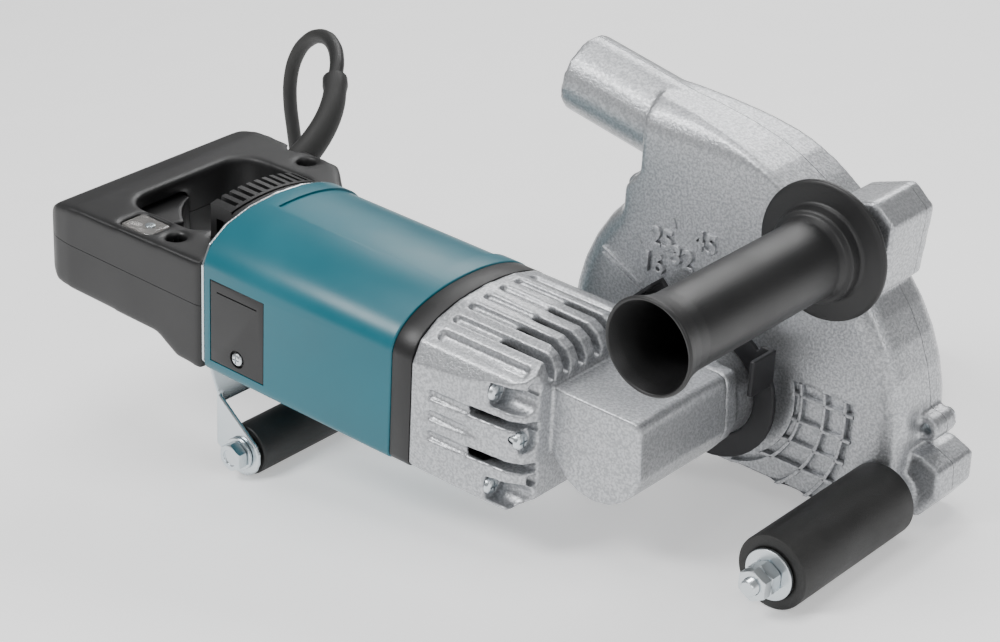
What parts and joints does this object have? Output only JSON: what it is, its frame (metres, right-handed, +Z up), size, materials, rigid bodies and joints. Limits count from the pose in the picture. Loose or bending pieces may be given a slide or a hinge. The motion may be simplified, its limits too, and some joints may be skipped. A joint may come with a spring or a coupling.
{
  "type": "wall chaser",
  "caption": "Mains wall chaser: D-handle motor body, gear head and a cast disc guard with dust port, side grip and floor rollers.",
  "frame": {"origin": "middle of the tool's footprint on the floor, under the bounding box of everything but the free cord", "axes": "+X from the handle to the guard, +Y from the side grip's mouth towards the guard's cover, +Z up; the tool stands on both rollers, its motor axis 9.9 degrees nose down"},
  "size_m": [0.4645, 0.3178, 0.2054],
  "materials": {
    "teal_plastic": "satin moulded nylon, blue-green",
    "black_plastic": "fine moulded texture, near black",
    "casting": "silver hammertone paint on die-cast metal",
    "zinc": "bright zinc plate",
    "steel": "ground steel, lightly oiled",
    "black_steel": "blackened pressed steel",
    "copper": "copper",
    "carbon": "pressed carbon",
    "rubber": "dull black rubber",
    "clear_lens": "clear lens"
  },
  "bodies": {
    "tool_body": {"motor_housing": "teal_plastic", "brush_cover_near": "black_plastic", "brush_cover_far": "black_plastic", "baffle_ring": "black_plastic", "handle_upper_shell": "black_plastic", "handle_lower_shell": "black_plastic", "switch_body": "black_plastic", "air_inlet": "black_plastic", "gear_housing": "casting", "bearing_box": "casting", "brush_cover_screw_near": "zinc", "brush_cover_screw_far": "zinc", "gear_housing_screw_1": "zinc", "gear_housing_screw_2": "zinc", "gear_housing_screw_3": "zinc", "gear_housing_screw_4": "zinc", "rear_roller_bracket": "zinc", "rear_roller_bolt": "zinc", "rear_roller_washer": "zinc", "rear_roller_nut": "zinc", "handle_screw_1": "zinc", "handle_screw_2": "zinc", "stator": "steel", "rear_bearing": "steel", "front_bearing": "steel", "spindle_rear_bearing": "steel", "spindle_front_bearing": "steel", "field_winding": "copper", "carbon_brush_near": "carbon", "carbon_brush_far": "carbon", "strain_relief": "rubber", "power_cord": "rubber", "cord_coil": "rubber", "plug": "rubber", "indicator_lens": "clear_lens"},
    "guard": {"guard_body": "casting", "guard_cover": "casting", "guard_screw_1": "zinc", "guard_screw_2": "zinc", "guard_screw_3": "zinc", "side_grip": "black_plastic", "side_grip_bolt": "zinc", "front_roller_axle": "zinc", "front_roller_washer": "zinc", "front_roller_nut": "zinc", "front_roller_lock_nut": "zinc"},
    "front_roller": {"front_roller": "rubber"},
    "rear_roller": {"rear_roller": "rubber"},
    "armature_set": {"armature": "steel", "commutator": "copper", "cooling_fan": "black_plastic", "pinion": "steel"},
    "spindle_set": {"spindle": "steel", "ring_gear": "steel", "inner_flange": "steel", "clamp_nut": "steel"},
    "trigger": {"trigger": "black_plastic"},
    "lock_button": {"lock_button": "black_plastic"},
    "shaft_lock_button": {"shaft_lock_button": "black_plastic"},
    "depth_lever": {"depth_lever": "black_steel"}
  },
  "joints": [
    {"name": "guard_depth", "type": "hinge", "parent": "tool_body", "child": "guard", "pos_m": [0.11796, 0.05859, 0.05916], "axis": [0, -1, 0], "range_deg": [-5, 30]},
    {"name": "front_roller_spin", "type": "hinge", "parent": "guard", "child": "front_roller", "pos_m": [0.20255, -0.00491, 0.0175], "axis": [0, 1, 0], "continuous": true},
    {"name": "rear_roller_spin", "type": "hinge", "parent": "tool_body", "child": "rear_roller", "pos_m": [-0.10023, -0.02941, 0.013], "axis": [0, 1, 0], "continuous": true},
    {"name": "armature_spin", "type": "hinge", "parent": "tool_body", "child": "armature_set", "pos_m": [0.01945, -0.02941, 0.07636], "axis": [0.9851, 0, -0.172], "continuous": true},
    {"name": "spindle_spin", "type": "hinge", "parent": "tool_body", "child": "spindle_set", "pos_m": [0.11796, 0.03859, 0.05916], "axis": [0, 1, 0], "continuous": true},
    {"name": "trigger_pull", "type": "slide", "parent": "tool_body", "child": "trigger", "axis": [-0.9851, 0, 0.172], "range_m": [0, 0.006], "stiffness_N_per_m": 300, "springref_m": -0.006},
    {"name": "lock_button_press", "type": "slide", "parent": "tool_body", "child": "lock_button", "axis": [0.172, 0, 0.9851], "range_m": [0, 0.003], "stiffness_N_per_m": 300, "springref_m": -0.004},
    {"name": "shaft_lock_press", "type": "slide", "parent": "tool_body", "child": "shaft_lock_button", "axis": [-0.172, 0, -0.9851], "range_m": [0, 0.003], "stiffness_N_per_m": 400, "springref_m": -0.004},
    {"name": "depth_lever_swing", "type": "hinge", "parent": "tool_body", "child": "depth_lever", "pos_m": [0.11796, 0.02759, 0.05916], "axis": [0, 1, 0], "range_deg": [0, 12]}
  ],
  "couplings": [
    {"joint": "spindle_spin", "follows": "armature_spin", "ratio": 0.3}
  ]
}
